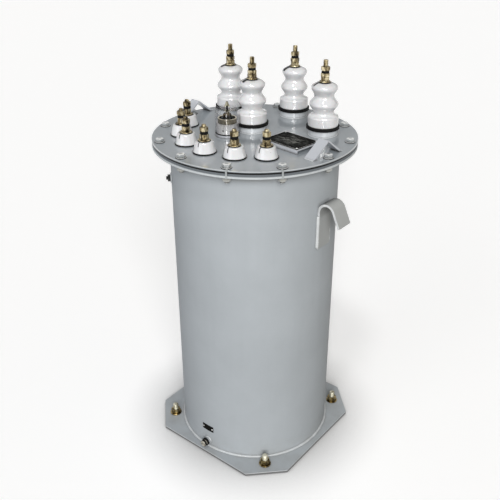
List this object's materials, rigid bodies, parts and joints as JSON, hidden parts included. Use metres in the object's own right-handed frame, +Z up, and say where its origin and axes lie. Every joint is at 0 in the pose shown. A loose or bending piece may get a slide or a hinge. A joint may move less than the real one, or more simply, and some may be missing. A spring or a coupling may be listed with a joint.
{
  "type": "oil-immersed transformer",
  "caption": "Oil-immersed transformer in a round grey steel tank, with a bolted lid carrying porcelain bushings, a tap switch, lifting brackets and hook lugs.",
  "frame": {"origin": "middle of the base plate's underside", "axes": "+Z up; -Y towards the drain plug; +X towards the first lifting lug"},
  "size_m": [0.5592, 0.52, 1.084],
  "materials": {
    "tank_paint": "semi-gloss light grey paint on steel plate",
    "black_rubber": "black oil-resistant rubber",
    "porcelain": "white glazed porcelain",
    "terminal_brass": "dull yellow brass",
    "zinc_fixings": "yellow-passivated zinc on steel",
    "cast_alloy": "turned bright alloy casting",
    "clear_plastic": "clear moulded plastic",
    "black_plate": "black enamel on thin metal plate"
  },
  "bodies": {
    "root": {"base_plate": "tank_paint", "base_studs": "zinc_fixings", "base_washers": "zinc_fixings", "base_weld": "tank_paint", "bonding_straps": "tank_paint", "drain_boss": "tank_paint", "drain_label": "black_plate", "drain_plug": "terminal_brass", "drain_seal": "black_rubber", "earth_boss": "tank_paint", "earth_stud": "zinc_fixings", "hv_bushing_1": "porcelain", "hv_bushing_2": "porcelain", "hv_bushing_3": "porcelain", "hv_bushing_4": "porcelain", "hv_gaskets": "black_rubber", "hv_seats": "tank_paint", "hv_spacers": "black_rubber", "hv_terminal_1": "terminal_brass", "hv_terminal_2": "terminal_brass", "hv_terminal_3": "terminal_brass", "hv_terminal_4": "terminal_brass", "lid": "tank_paint", "lid_bracket_1": "tank_paint", "lid_bracket_2": "tank_paint", "lid_gasket": "black_rubber", "lifting_lug_1": "tank_paint", "lifting_lug_2": "tank_paint", "lv_bushing_1": "porcelain", "lv_bushing_2": "porcelain", "lv_bushing_3": "porcelain", "lv_bushing_4": "porcelain", "lv_bushing_5": "porcelain", "lv_bushing_6": "porcelain", "lv_gaskets": "black_rubber", "lv_spacers": "black_rubber", "lv_terminal_1": "terminal_brass", "lv_terminal_2": "terminal_brass", "lv_terminal_3": "terminal_brass", "lv_terminal_4": "terminal_brass", "lv_terminal_5": "terminal_brass", "lv_terminal_6": "terminal_brass", "nameplate": "black_plate", "nameplate_holder": "tank_paint", "switch_body": "cast_alloy", "switch_cover": "clear_plastic", "switch_gasket": "black_rubber", "switch_ring": "terminal_brass", "switch_seat": "tank_paint", "switch_spindle": "terminal_brass", "switch_wing_nut": "terminal_brass", "tank_flange": "tank_paint", "tank_shell": "tank_paint"}
  },
  "joints": []
}
